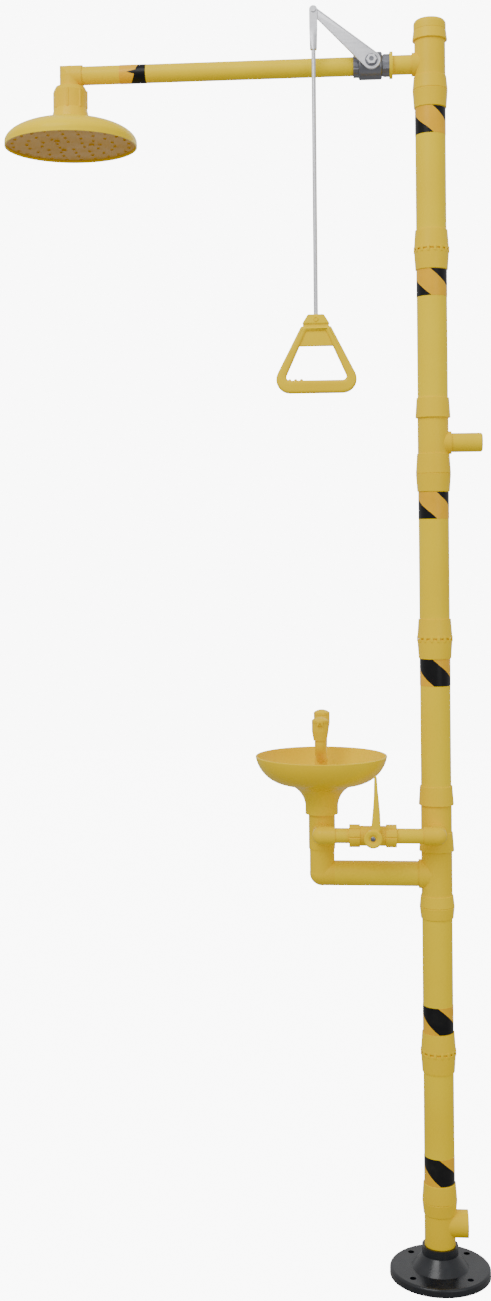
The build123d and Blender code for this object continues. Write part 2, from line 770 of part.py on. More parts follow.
def drain_pipe():
    start = -math.sqrt(column_bore ** 2 - (drain_od / 2) ** 2) - 1
    end = eyewash_x + elbow_leg
    return tube_between((start, 0, drain_height), (end, 0, drain_height), drain_od / 2, drain_bore)


def drain_elbow():
    """Elbow under the riser; it has the drain pipe's own outside and butts against the pipe."""
    low_leg = (eyewash_x + elbow_leg, 0, drain_height)
    top = (eyewash_x, 0, feed_height - riser_tee_below)
    return elbow((eyewash_x, 0, drain_height), low_leg, top, drain_od / 2, drain_bore)


def riser_tee():
    """Short riser fitting: takes the feed in at its front and carries the bowl's neck."""
    low, high = feed_height - riser_tee_below, feed_height + riser_tee_above
    outer, x = riser_tee_od / 2, eyewash_x
    form = rod_between((x, 0, low), (x, 0, high), outer)
    form += rod_between((x, 0, high), (x, 0, high + riser_spigot), drain_od / 2)
    boss_end = -outer - feed_boss_rise
    form += rod_between((x, 0, feed_height), (x, boss_end, feed_height), feed_od / 2 + boss_wall)
    form -= rod_between((x, 0, low), (x, 0, high + riser_spigot), drain_bore)
    return form - rod_between((x, 0, feed_height), (x, boss_end, feed_height), feed_od / 2 + glue_gap)


neck_low = feed_height + riser_tee_above
neck_high = neck_low + bowl_neck_length
bowl_floor_z = rim_height - bowl_floor_drop


def bowl():
    """Round basin on a flared neck that slips over the riser's spigot, with a seat for the strainer."""
    floor_in = bowl_floor_z + bowl_wall
    seat_top = neck_low + riser_spigot
    ledge = floor_in - strainer_thickness * 2
    inset = bowl_wall * math.sqrt(0.5)
    outer = [
        ThreePointArc((bowl_radius, rim_height), (bowl_bulge_radius, rim_height - bowl_bulge_drop),
                      (bowl_floor_radius, bowl_floor_z)),
        ThreePointArc((bowl_floor_radius, bowl_floor_z),
                      ((bowl_floor_radius + bowl_neck_radius) / 2 - bowl_flare,
                       (bowl_floor_z + neck_high) / 2 + bowl_flare),
                      (bowl_neck_radius, neck_high)),
        Polyline((bowl_neck_radius, neck_high), (bowl_neck_radius, neck_low), (0, neck_low), (0, rim_height),
                 (bowl_radius, rim_height)),
    ]
    basin = [
        ThreePointArc((bowl_radius - bowl_wall, rim_height),
                      (bowl_bulge_radius - inset, rim_height - bowl_bulge_drop + inset),
                      (bowl_floor_radius, floor_in)),
        Polyline((bowl_floor_radius, floor_in), (strainer_radius + glue_gap, ledge + strainer_thickness),
                 (strainer_radius + glue_gap, ledge), (throat_radius, ledge), (throat_radius, seat_top),
                 (0, seat_top), (0, rim_height), (bowl_radius - bowl_wall, rim_height)),
    ]
    form = turned_section(outer)
    form -= turned_section(basin)
    rim_edges = form.edges().filter_by(GeomType.CIRCLE).filter_by_position(Axis.Z, rim_height, rim_height)
    form = fillet(rim_edges, bowl_rim_round)
    form -= rod_between((0, 0, neck_low), (0, 0, seat_top), drain_od / 2 + glue_gap)
    return Pos(eyewash_x, 0, 0) * form


strainer_low = bowl_floor_z + bowl_wall - strainer_thickness * 2


def bowl_strainer():
    """Perforated ring over the drain, around the nozzle stem."""
    form = ring(strainer_radius, stem_radius + glue_gap, strainer_low, strainer_low + strainer_thickness)
    middle = (strainer_radius + stem_radius) / 2
    for radius, count in ((middle - strainer_ring_step, strainer_hole_count),
                          (middle + strainer_ring_step, strainer_hole_count * 3 // 2)):
        for place in PolarLocations(radius, count):
            hole = Cylinder(strainer_hole_radius, strainer_thickness)
            form -= place * Pos(0, 0, strainer_low + strainer_thickness / 2) * hole
    return Pos(eyewash_x, 0, 0) * form


def feed_elbow(x, side):
    """Elbow in front of the column or riser: a spigot back into its boss and a socket along the feed."""
    corner = (x, -feed_offset, feed_height)
    outer = feed_od / 2 + glue_gap + feed_elbow_wall
    leg = (x + side * feed_elbow_leg, -feed_offset, feed_height)
    boss_front = -(fitting_r if side < 0 else riser_tee_od / 2) - feed_boss_rise
    form = elbow(corner, leg, (x, boss_front, feed_height), outer, feed_bore)
    spigot_end = boss_front + feed_socket
    spigot = rod_between((x, boss_front, feed_height), (x, spigot_end, feed_height), feed_od / 2)
    bore = feed_tube_od / 2 + glue_gap if side > 0 else feed_bore
    form += spigot - rod_between((x, boss_front, feed_height), (x, spigot_end, feed_height), bore)
    socket_start = (x + side * (feed_elbow_leg - feed_socket), -feed_offset, feed_height)
    return form - rod_between(socket_start, leg, feed_od / 2 + glue_gap)


def feed_pipe(x, side):
    """Pipe from an elbow's socket to the middle of the valve's nut."""
    start = x + side * (feed_elbow_leg - feed_socket)
    end = eyewash_valve_x - side * (eyewash_valve_length / 2 - feed_socket)
    first, last = (start, -feed_offset, feed_height), (end, -feed_offset, feed_height)
    return tube_between(first, last, feed_od / 2, feed_bore)


def eyewash_valve_body():
    """Middle of the valve between its two nuts, with the stem's boss in front."""
    x, y, z = eyewash_centre
    half = eyewash_valve_length / 2 - eyewash_nut_length
    form = rod_between((x - half, y, z), (x + half, y, z), eyewash_body_radius)
    form += rod_between(eyewash_centre, (x, y - eyewash_boss_top, z), eyewash_boss_radius)
    form -= rod_between((x - half, y, z), (x + half, y, z), eyewash_bore)
    cavity = eyewash_cavity_half
    form -= rod_between((x - cavity, y, z), (x + half, y, z), eyewash_cavity_r)
    stem_hole = eyewash_stem_radius + stem_clearance
    return form - rod_between(eyewash_centre, (x, y - eyewash_boss_top, z), stem_hole)


def eyewash_valve_nuts():
    """Two union nuts, each with the socket for its pipe; the right one also closes the cavity."""
    x, y, z = eyewash_centre
    half = eyewash_valve_length / 2
    nuts = []
    for side in (-1, 1):
        near, far = x + side * (half - eyewash_nut_length), x + side * half
        form = rod_between((near, y, z), (far, y, z), eyewash_nut_radius)
        grip = Pos((near + far) / 2, y, z) * Rot(0, 90, 0)
        for place in PolarLocations(eyewash_nut_radius, eyewash_nut_sides):
            form -= grip * place * Cylinder(eyewash_nut_groove, eyewash_nut_length)
        if side > 0:
            cavity_end = x + eyewash_cavity_half
            form += rod_between((near, y, z), (cavity_end, y, z), eyewash_cavity_r - glue_gap)
            near = cavity_end
        form -= rod_between((near, y, z), (far, y, z), eyewash_bore)
        form -= rod_between((far - side * feed_socket, y, z), (far, y, z), feed_od / 2 + glue_gap)
        nuts.append(form)
    return nuts


def eyewash_lever():
    """Blade-shaped lever on a round hub with a recessed front."""
    x, y, z = eyewash_centre
    back = y - eyewash_boss_top - lever_gap
    front = back - eyewash_hub_thickness
    plane = Plane(origin=(x, back, z), x_dir=(1, 0, 0), z_dir=(0, -1, 0))
    low, top = eyewash_hub_radius * 0.6, eyewash_lever_length
    offset, belly, tip = eyewash_lever_offset, eyewash_lever_belly, eyewash_lever_tip
    right = Spline((offset + belly, low), (offset + belly, top * 0.4), (offset + tip, top))
    left = Spline((offset - tip, top), (offset - belly * 0.5, top * 0.5), (offset - belly, low))
    outline = [right, Line(right @ 1, left @ 0), left, Line(left @ 1, right @ 0)]
    face = make_face([edge for curve in outline for edge in curve.edges()])
    form = extrude(plane * face, eyewash_lever_thickness)
    form += rod_between((x, back, z), (x, front, z), eyewash_hub_radius)
    form -= rod_between((x, front + eyewash_hub_recess / 2, z), (x, front, z), eyewash_hub_recess)
    width = eyewash_square + square_clearance
    return form - Pos(x, (back + front) / 2, z) * Box(width, eyewash_hub_thickness, width)


def feed_riser_tube():
    """Inner tube from the feed elbow's spigot, round a corner and up to the nozzle stem."""
    start = (eyewash_x, -riser_tee_od / 2 - feed_boss_rise + feed_tube_wall, feed_height)
    top = (eyewash_x, 0, strainer_low + tube_lap)
    radius = feed_tube_od / 2
    return elbow((eyewash_x, 0, feed_height), start, top, radius, radius - feed_tube_wall)


def nozzle_manifold():
    """Stem through the drain that forks to the front and rear nozzles."""
    stem_low = strainer_low - stem_below
    tube_top = strainer_low + tube_lap
    form = rod_between((eyewash_x, 0, stem_low), (eyewash_x, 0, stem_top), stem_radius)
    form += Pos(eyewash_x, 0, stem_top) * Sphere(stem_radius)
    bore = feed_tube_od / 2 - feed_tube_wall
    hollow = rod_between((eyewash_x, 0, tube_top), (eyewash_x, 0, stem_top), bore)
    for side in (-1, 1):
        tip = (eyewash_x, side * nozzle_spread, nozzle_base + nozzle_socket)
        corner = (eyewash_x, side * nozzle_spread, nozzle_base - nozzle_arm_drop)
        path = FilletPolyline((eyewash_x, 0, stem_top), corner, tip, radius=nozzle_arm_bend)
        start = Plane(origin=path @ 0, z_dir=path % 0)
        form += sweep(start * Circle(nozzle_arm_radius), path=path)
        hollow += sweep(start * Circle(nozzle_arm_radius - nozzle_arm_wall), path=path)
    form -= hollow
    return form - rod_between((eyewash_x, 0, stem_low), (eyewash_x, 0, tube_top), feed_tube_od / 2 + glue_gap)


def nozzle(side):
    """Bulb-shaped spray head that slips over the manifold's arm; its lug carries the dust cap."""
    low, high = nozzle_base, nozzle_top - cap_dome
    form = turned([(0, low), (nozzle_neck_radius, low), (nozzle_radius, low + nozzle_height * 0.4),
                   (nozzle_radius, high), (0, high)])
    bore_top = low + nozzle_socket
    form -= rod_between((0, 0, low), (0, 0, bore_top), nozzle_arm_radius + glue_gap)
    form -= rod_between((0, 0, bore_top), (0, 0, high), nozzle_arm_radius - nozzle_arm_wall)
    form -= rod_between((0, 0, high - insert_thickness), (0, 0, high), nozzle_radius - nozzle_wall)
    form = Pos(eyewash_x, side * nozzle_spread, 0) * form
    pin_y, pin_z = cap_hinge(side)
    half = cap_lug_width / 2
    root = side * (nozzle_spread + nozzle_radius - nozzle_wall)
    lug = Box(cap_lug_width, abs(pin_y - root), 2 * cap_lug_radius)
    form += Pos(eyewash_x, (pin_y + root) / 2, pin_z) * lug
    form += rod_between((eyewash_x - half, pin_y, pin_z), (eyewash_x + half, pin_y, pin_z), cap_lug_radius)
    reach = half + ball_gap + cap_ear_width
    near, far = (eyewash_x - reach, pin_y, pin_z), (eyewash_x + reach, pin_y, pin_z)
    return form + rod_between(near, far, cap_pin_radius)


def cap_hinge(side):
    """Hinge pin of a dust cap, just outside the nozzle and below its mouth."""
    pin_y = side * (nozzle_spread + nozzle_radius + cap_gap + cap_ear_radius)
    return pin_y, nozzle_top - cap_dome - cap_ear_radius


def nozzle_inserts():
    """Perforated discs in the mouths of the two nozzles."""
    disc = Cylinder(nozzle_radius - nozzle_wall - glue_gap, insert_thickness)
    for place in PolarLocations(nozzle_arm_radius / 2, insert_hole_count):
        disc -= place * Cylinder(insert_hole_radius, insert_thickness)
    height = nozzle_top - cap_dome - insert_thickness / 2
    return [Pos(eyewash_x, side * nozzle_spread, height) * disc for side in (-1, 1)]


def dust_cap(side):
    """Low dome over the nozzle with two ears that turn on the nozzle's hinge pin."""
    low = nozzle_top - cap_dome + cap_gap
    place = Pos(eyewash_x, side * nozzle_spread, 0)
    plate = place * Pos(0, 0, low + cap_plate / 2) * Cylinder(nozzle_radius, cap_plate)
    rise = cap_dome - cap_plate - cap_gap
    ball_r = (nozzle_radius ** 2 + rise ** 2) / (2 * rise)
    crown = place * Pos(0, 0, low + cap_plate + rise - ball_r) * Sphere(ball_r)
    keep = place * Pos(0, 0, low + cap_plate + rise / 2) * Cylinder(nozzle_radius, rise)
    form = plate + (crown & keep)
    pin_y, pin_z = cap_hinge(side)
    half = cap_lug_width / 2 + ball_gap
    bridge_y = pin_y - side * (cap_ear_radius + nozzle_wall)
    bridge_far = pin_y + side * cap_ear_radius
    width = 2 * (half + cap_ear_width)
    form += Pos(eyewash_x, (bridge_y + bridge_far) / 2, low + cap_plate / 2) * Box(
        width, abs(bridge_far - bridge_y), cap_plate)
    for x_side in (-1, 1):
        inner, outer = eyewash_x + x_side * half, eyewash_x + x_side * (half + cap_ear_width)
        form += rod_between((inner, pin_y, pin_z), (outer, pin_y, pin_z), cap_ear_radius)
        form += Pos((inner + outer) / 2, pin_y, (pin_z + low) / 2) * Box(
            cap_ear_width, 2 * cap_ear_radius, low - pin_z)
    reach = half + cap_ear_width
    near, far = (eyewash_x - reach, pin_y, pin_z), (eyewash_x + reach, pin_y, pin_z)
    return form - rod_between(near, far, cap_pin_radius + stem_clearance)


def write(name, shape):
    solids = shape if isinstance(shape, list) else [shape]
    export_step(Compound(children=[s for part in solids for s in part.solids()]), f"parts/{name}.step")


os.makedirs("parts", exist_ok=True)
lever_back = shower_boss_top + lever_gap
lever_front = lever_back + lever_thickness
shower_stem = stem(shower_centre, shower_ball_radius, shower_stem_radius, lever_square, lever_back,
                   lever_front, lever_front + nut_height)
eyewash_stem_end = eyewash_boss_top + lever_gap + eyewash_hub_thickness - eyewash_hub_recess / 2
eyewash_stem = stem(eyewash_centre, eyewash_ball_radius, eyewash_stem_radius, eyewash_square,
                    eyewash_boss_top + lever_gap, eyewash_stem_end, eyewash_stem_end)
nodes = {
    "base_flange": base_flange(),
    "outlet_tee": outlet_tee(),
    "drain_tee": drain_tee(),
    "supply_plug": supply_plug(),
    "feed_tee": feed_tee(),
    "inlet_tee": inlet_tee(),
    "inlet_nipple": inlet_nipple(),
    "top_tee": top_tee(),
    "top_cap": top_cap(),
    "coupling_lower": coupling(lower_joint_height),
    "coupling_middle": coupling(middle_joint_height),
    "coupling_upper": coupling(upper_joint_height),
    "collar_lower": union_collar(outlet_collar_z, "low"),
    "collar_middle": union_collar(inlet_collar_z, "high"),
    "collar_upper": union_collar(top_collar_z, "high"),
    "joint_seals": joint_seals(),
    "hazard_tapes": hazard_tapes(),
    "arm_nipple": arm_nipple(),
    "shower_valve_body": shower_valve_body(),
    "shower_valve_end": shower_valve_end(),
    "valve_seats": valve_seats(),
    "shower_ball": ball(shower_centre, shower_ball_radius, shower_bore, lever_square),
    "shower_stem": shower_stem,
    "shower_lever": shower_lever(),
    "shower_lever_nut": shower_lever_nut(),
    "pull_pin": pull_pin(),
    "rod_clevis": rod_clevis(),
    "pull_rod": pull_rod(),
    "pull_handle": pull_handle(),
    "shower_arm": shower_arm(),
    "arm_elbow": arm_elbow(),
    "head_nut": head_nut(),
    "head_shell": head_shell(),
    "spray_plate": spray_plate(),
    "spray_plate_screws": spray_plate_screws(),
    "drain_pipe": drain_pipe(),
    "drain_elbow": drain_elbow(),
    "riser_tee": riser_tee(),
    "bowl": bowl(),
    "bowl_strainer": bowl_strainer(),
    "feed_elbows": [feed_elbow(0, -1), feed_elbow(eyewash_x, 1)],
    "feed_pipes": [feed_pipe(0, -1), feed_pipe(eyewash_x, 1)],
    "eyewash_valve_body": eyewash_valve_body(),
    "eyewash_valve_nuts": eyewash_valve_nuts(),
    "eyewash_ball": ball(eyewash_centre, eyewash_ball_radius, eyewash_bore, eyewash_square),
    "eyewash_stem": eyewash_stem,
    "eyewash_lever": eyewash_lever(),
    "feed_riser_tube": feed_riser_tube(),
    "nozzle_manifold": nozzle_manifold(),
    "nozzle_front": nozzle(-1),
    "nozzle_rear": nozzle(1),
    "nozzle_inserts": nozzle_inserts(),
    "dust_cap_front": dust_cap(-1),
    "dust_cap_rear": dust_cap(1),
    **column_pipes(),
}
for name, shape in nodes.items():
    write(name, shape)
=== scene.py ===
import json
import math
import bmesh
import bpy
from mathutils import Matrix, Vector


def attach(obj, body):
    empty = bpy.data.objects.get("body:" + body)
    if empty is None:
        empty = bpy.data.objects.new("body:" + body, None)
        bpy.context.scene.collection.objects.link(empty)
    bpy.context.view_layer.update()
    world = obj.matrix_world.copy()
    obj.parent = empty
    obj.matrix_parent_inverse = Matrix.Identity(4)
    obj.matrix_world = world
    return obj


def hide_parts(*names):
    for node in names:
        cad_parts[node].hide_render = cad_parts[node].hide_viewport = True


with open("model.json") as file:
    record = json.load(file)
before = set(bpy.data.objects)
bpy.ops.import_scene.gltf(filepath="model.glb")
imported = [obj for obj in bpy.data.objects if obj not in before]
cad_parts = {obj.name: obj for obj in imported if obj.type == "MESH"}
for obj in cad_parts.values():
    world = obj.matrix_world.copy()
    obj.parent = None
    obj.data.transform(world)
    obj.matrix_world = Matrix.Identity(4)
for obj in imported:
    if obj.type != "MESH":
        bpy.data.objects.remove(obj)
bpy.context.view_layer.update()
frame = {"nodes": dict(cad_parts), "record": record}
nodes = frame["nodes"]
print("frame loaded:", len(nodes), "nodes")


# ---- camera and room ----

camera = {"place": (-0.1429, -2.9269, 1.4001), "yaw": 4.82, "pitch": -0.168, "roll": -0.525,
          "lens": 42.606, "shift": (0.01336, -0.08582)}
room = {"floor": (0.4, 0.4, 0.4), "air": (1.0, 1.0, 1.0), "airStrength": 0.8, "seen": 9.0,
        "floorSize": 14, "floorRough": 0.9,
        "lamps": [("keyLamp", (-1.6, -2.6, 4.2), (-0.2, 0, 1.5), 2.4, 82),
                  ("fillLamp", (1.8, -3.0, 1.6), (0, 0, 1.0), 2.0, 14),
                  ("rimLamp", (0.6, 2.6, 3.0), (-0.1, 0, 1.4), 1.6, 8)]}


def addCamera(c):
    data = bpy.data.cameras.new("mainView")
    data.lens = c["lens"]
    data.shift_x, data.shift_y = c["shift"]
    obj = bpy.data.objects.new("mainView", data)
    yaw, pitch, roll = (math.radians(c[word]) for word in ("yaw", "pitch", "roll"))
    level = Matrix.Rotation(yaw, 4, "Z") @ Matrix.Rotation(math.pi / 2 + pitch, 4, "X")
    obj.matrix_world = Matrix.Translation(c["place"]) @ level @ Matrix.Rotation(roll, 4, "Z")
    bpy.context.collection.objects.link(obj)
    bpy.context.scene.camera = obj


def addLamp(name, place, target, size, power):
    data = bpy.data.lights.new(name, "AREA")
    data.size, data.energy = size, power
    obj = bpy.data.objects.new(name, data)
    away = Vector(place) - Vector(target)
    obj.matrix_world = Matrix.Translation(place) @ away.to_track_quat("Z", "Y").to_matrix().to_4x4()
    bpy.context.collection.objects.link(obj)


def glowToCamera(tree, socket, plain, seen):
    # what the camera sees straight on is brighter than what lights the object
    path, gain = tree.nodes.new("ShaderNodeLightPath"), tree.nodes.new("ShaderNodeMapRange")
    gain.inputs["To Min"].default_value = plain
    gain.inputs["To Max"].default_value = seen
    tree.links.new(path.outputs["Is Camera Ray"], gain.inputs["Value"])
    tree.links.new(gain.outputs["Result"], socket)


def addRoom(r):
    world = bpy.data.worlds.new("paleAir")
    bpy.context.scene.world = world
    world.use_nodes = True
    sky = world.node_tree.nodes["Background"]
    sky.inputs["Color"].default_value = (*r["air"], 1)
    glowToCamera(world.node_tree, sky.inputs["Strength"], r["airStrength"], r["seen"])
    for lamp in r["lamps"]:
        addLamp(*lamp)
    bpy.ops.mesh.primitive_plane_add(size=r["floorSize"])
    floor = bpy.context.object
    floor.name = "paleFloor"
    mat = bpy.data.materials.new("paleFloor")
    mat.use_nodes = True
    shader = mat.node_tree.nodes["Principled BSDF"]
    shader.inputs["Base Color"].default_value = (*r["floor"], 1)
    shader.inputs["Roughness"].default_value = r["floorRough"]
    shader.inputs["Emission Color"].default_value = (1, 1, 1, 1)
    glowToCamera(mat.node_tree, shader.inputs["Emission Strength"], 0.0, r["seen"])
    floor.data.materials.append(mat)


addCamera(camera)
addRoom(room)
print("camera and room ready")


# ---- shared shader effects ----

def newGroup(name, inputs, outputs):
    group = bpy.data.node_groups.new(name, "ShaderNodeTree")
    for label, value in inputs:
        socket = group.interface.new_socket(label, in_out="INPUT", socket_type="NodeSocketFloat")
        socket.default_value = value
    for label in outputs:
        group.interface.new_socket(label, in_out="OUTPUT", socket_type="NodeSocketFloat")
    return group, group.nodes.new("NodeGroupInput"), group.nodes.new("NodeGroupOutput")


def addMath(tree, kind, first, second=None):
    node = tree.nodes.new("ShaderNodeMath")
    node.operation = kind
    for socket, value in zip(node.inputs, (first, second)):
        if isinstance(value, (int, float)):
            socket.default_value = value
        elif value is not None:
            tree.links.new(value, socket)
    return node.outputs[0]


def makePatches():
    # slow change of tone over a surface, 0 to 1
    group, entry, leave = newGroup("slowPatches", [("Scale", 6.0), ("Detail", 3.0)], ["Value"])
    coords = group.nodes.new("ShaderNodeTexCoord")
    noise = group.nodes.new("ShaderNodeTexNoise")
    group.links.new(coords.outputs["Object"], noise.inputs["Vector"])
    group.links.new(entry.outputs["Scale"], noise.inputs["Scale"])
    group.links.new(entry.outputs["Detail"], noise.inputs["Detail"])
    spread = group.nodes.new("ShaderNodeMapRange")
    spread.inputs["From Min"].default_value = 0.3
    spread.inputs["From Max"].default_value = 0.7
    group.links.new(noise.outputs["Fac"], spread.inputs["Value"])
    group.links.new(spread.outputs["Result"], leave.inputs["Value"])
    return group


def makePeel():
    # fine skin of moulded or sprayed surfaces, as a height
    group, entry, leave = newGroup("finePeel", [("Scale", 380.0), ("Strength", 0.5)], ["Height"])
    coords = group.nodes.new("ShaderNodeTexCoord")
    noise = group.nodes.new("ShaderNodeTexNoise")
    noise.inputs["Detail"].default_value = 2.0
    group.links.new(coords.outputs["Object"], noise.inputs["Vector"])
    group.links.new(entry.outputs["Scale"], noise.inputs["Scale"])
    height = addMath(group, "MULTIPLY", noise.outputs["Fac"], entry.outputs["Strength"])
    group.links.new(height, leave.inputs["Height"])
    return group


def makeDust():
    # thin dust and rub marks, densest low on the stand
    group, entry, leave = newGroup("lightDust", [("Amount", 0.2)], ["Mask"])
    coords = group.nodes.new("ShaderNodeTexCoord")
    noise = group.nodes.new("ShaderNodeTexNoise")
    noise.inputs["Scale"].default_value = 45.0
    noise.inputs["Detail"].default_value = 6.0
    group.links.new(coords.outputs["Object"], noise.inputs["Vector"])
    split = group.nodes.new("ShaderNodeSeparateXYZ")
    group.links.new(coords.outputs["Object"], split.inputs["Vector"])
    low = addMath(group, "SUBTRACT", 1.0, addMath(group, "MULTIPLY", split.outputs["Z"], 0.55))
    low = addMath(group, "MAXIMUM", low, 0.25)
    mask = addMath(group, "MULTIPLY", addMath(group, "POWER", noise.outputs["Fac"], 3.0), low)
    mask = addMath(group, "MULTIPLY", mask, entry.outputs["Amount"])
    group.links.new(mask, leave.inputs["Mask"])
    return group


def makeStreaks():
    # long thin scratches along X, for turned and brushed metal
    group, entry, leave = newGroup("brushedStreaks", [("Scale", 90.0)], ["Value"])
    coords = group.nodes.new("ShaderNodeTexCoord")
    stretch = group.nodes.new("ShaderNodeMapping")
    stretch.inputs["Scale"].default_value = (0.06, 1.0, 1.0)
    noise = group.nodes.new("ShaderNodeTexNoise")
    noise.inputs["Detail"].default_value = 4.0
    group.links.new(coords.outputs["Object"], stretch.inputs["Vector"])
    group.links.new(stretch.outputs["Vector"], noise.inputs["Vector"])
    group.links.new(entry.outputs["Scale"], noise.inputs["Scale"])
    group.links.new(noise.outputs["Fac"], leave.inputs["Value"])
    return group


patches, peel, dust, streaks = makePatches(), makePeel(), makeDust(), makeStreaks()


def useGroup(tree, group, **values):
    node = tree.nodes.new("ShaderNodeGroup")
    node.node_tree = group
    for label, value in values.items():
        node.inputs[label].default_value = value
    return node.outputs[0]


def mixColours(tree, factor, first, second):
    node = tree.nodes.new("ShaderNodeMix")
    node.data_type = "RGBA"
    tree.links.new(factor, node.inputs["Factor"])
    for socket, value in ((node.inputs[6], first), (node.inputs[7], second)):
        if isinstance(value, tuple):
            socket.default_value = (*value, 1)
        else:
            tree.links.new(value, socket)
    return node.outputs[2]


def spreadValue(tree, value, low, high):
    node = tree.nodes.new("ShaderNodeMapRange")
    node.inputs["To Min"].default_value = low
    node.inputs["To Max"].default_value = high
    tree.links.new(value, node.inputs["Value"])
    return node.outputs["Result"]


def addBump(tree, shader, height, strength, distance=0.0004):
    bump = tree.nodes.new("ShaderNodeBump")
    bump.inputs["Strength"].default_value = strength
    bump.inputs["Distance"].default_value = distance
    tree.links.new(height, bump.inputs["Height"])
    tree.links.new(bump.outputs["Normal"], shader.inputs["Normal"])


def startMaterial(name):
    mat = bpy.data.materials.new(name)
    mat.use_nodes = True
    return mat, mat.node_tree, mat.node_tree.nodes["Principled BSDF"]


def makeYellow(name, deep, light, rough, peelScale, dusty):
    mat, tree, shader = startMaterial(name)
    tone = mixColours(tree, useGroup(tree, patches, Scale=5.0), deep, light)
    tone = mixColours(tree, useGroup(tree, dust, Amount=dusty), tone, (0.62, 0.55, 0.38))
    tree.links.new(tone, shader.inputs["Base Color"])
    worn = useGroup(tree, patches, Scale=22.0, Detail=6.0)
    tree.links.new(spreadValue(tree, worn, rough - 0.06, rough + 0.07), shader.inputs["Roughness"])
    shader.inputs["Specular IOR Level"].default_value = 0.12
    addBump(tree, shader, useGroup(tree, peel, Scale=peelScale), 0.12)
    return mat


def makeMetal(name, dark, light, rough, streakScale, strength):
    mat, tree, shader = startMaterial(name)
    lines = useGroup(tree, streaks, Scale=streakScale)
    tone = mixColours(tree, lines, dark, light)
    tone = mixColours(tree, useGroup(tree, dust, Amount=0.5), tone, (0.2, 0.19, 0.17))
    tree.links.new(tone, shader.inputs["Base Color"])
    tree.links.new(spreadValue(tree, lines, rough - 0.08, rough + 0.1), shader.inputs["Roughness"])
    shader.inputs["Metallic"].default_value = 1.0
    addBump(tree, shader, lines, strength, 0.0002)
    return mat


def makeDull(name, dark, light, rough, peelScale, strength, shine=0.5):
    mat, tree, shader = startMaterial(name)
    tone = mixColours(tree, useGroup(tree, patches, Scale=30.0, Detail=5.0), dark, light)
    tone = mixColours(tree, useGroup(tree, dust, Amount=0.1), tone, (0.3, 0.29, 0.27))
    tree.links.new(tone, shader.inputs["Base Color"])
    worn = useGroup(tree, patches, Scale=60.0, Detail=4.0)
    tree.links.new(spreadValue(tree, worn, rough - 0.05, rough + 0.08), shader.inputs["Roughness"])
    shader.inputs["Specular IOR Level"].default_value = shine
    addBump(tree, shader, useGroup(tree, peel, Scale=peelScale, Strength=1.0), strength)
    return mat


stripes = {"black": (0.002, 0.002, 0.003), "orange": (0.95, 0.50, 0.0), "period": 0.096, "slope": 0.85,
           "wobble": 0.004, "radius": 0.0285, "armRadius": 0.0175, "armHeight": 2.283, "armEdge": -0.559,
           "armSlope": 0.31, "armNotch": 0.016, "notchHalf": 0.004}


def stripeWobble(tree, coords, amount):
    noise = tree.nodes.new("ShaderNodeTexNoise")
    noise.inputs["Scale"].default_value = 38.0
    noise.inputs["Detail"].default_value = 2.0
    tree.links.new(coords.outputs["Object"], noise.inputs["Vector"])
    return addMath(tree, "MULTIPLY", addMath(tree, "SUBTRACT", noise.outputs["Fac"], 0.5), amount)


def finishTape(tree, shader, black, colours):
    film = useGroup(tree, patches, Scale=40.0)
    orange = mixColours(tree, film, colours["orange"], tuple(0.9 * c for c in colours["orange"]))
    tone = mixColours(tree, black, orange, colours["black"])
    tone = mixColours(tree, useGroup(tree, dust, Amount=0.08), tone, (0.4, 0.37, 0.3))
    tree.links.new(tone, shader.inputs["Base Color"])
    tree.links.new(spreadValue(tree, film, 0.26, 0.36), shader.inputs["Roughness"])
    shader.inputs["Specular IOR Level"].default_value = 0.22
    addBump(tree, shader, useGroup(tree, peel, Scale=140.0), 0.25)


def makeColumnTape(s):
    mat, tree, shader = startMaterial("columnTape")
    coords = tree.nodes.new("ShaderNodeTexCoord")
    split = tree.nodes.new("ShaderNodeSeparateXYZ")
    tree.links.new(coords.outputs["Object"], split.inputs["Vector"])
    phase = tree.nodes.new("ShaderNodeAttribute")
    phase.attribute_name = "bandPhase"
    angle = addMath(tree, "ARCTAN2", split.outputs["X"], addMath(tree, "MULTIPLY", split.outputs["Y"], -1.0))
    rise = addMath(tree, "MULTIPLY", angle, s["radius"] * s["slope"])
    height = addMath(tree, "ADD", addMath(tree, "ADD", split.outputs["Z"], rise), phase.outputs["Fac"])
    height = addMath(tree, "ADD", height, stripeWobble(tree, coords, s["wobble"]))
    turn = addMath(tree, "FRACT", addMath(tree, "DIVIDE", height, s["period"]))
    finishTape(tree, shader, addMath(tree, "GREATER_THAN", turn, 0.5), s)
    return mat


def makeArmTape(s):
    mat, tree, shader = startMaterial("armTape")
    coords = tree.nodes.new("ShaderNodeTexCoord")
    split = tree.nodes.new("ShaderNodeSeparateXYZ")
    tree.links.new(coords.outputs["Object"], split.inputs["Vector"])
    over = addMath(tree, "SUBTRACT", split.outputs["Z"], s["armHeight"])
    angle = addMath(tree, "ARCTAN2", over, addMath(tree, "MULTIPLY", split.outputs["Y"], -1.0))
    arc = addMath(tree, "MULTIPLY", angle, s["armRadius"])
    edge = addMath(tree, "ADD", addMath(tree, "MULTIPLY", arc, s["armSlope"]), s["armEdge"])
    # the film is torn at its front, so the black starts earlier there
    share = addMath(tree, "DIVIDE", addMath(tree, "ABSOLUTE", arc), s["notchHalf"])
    near = addMath(tree, "SUBTRACT", 1.0, share)
    notch = addMath(tree, "MULTIPLY", addMath(tree, "MAXIMUM", near, 0.0), s["armNotch"])
    edge = addMath(tree, "SUBTRACT", edge, notch)
    edge = addMath(tree, "ADD", edge, stripeWobble(tree, coords, s["wobble"]))
    finishTape(tree, shader, addMath(tree, "GREATER_THAN", split.outputs["X"], edge), s)
    return mat


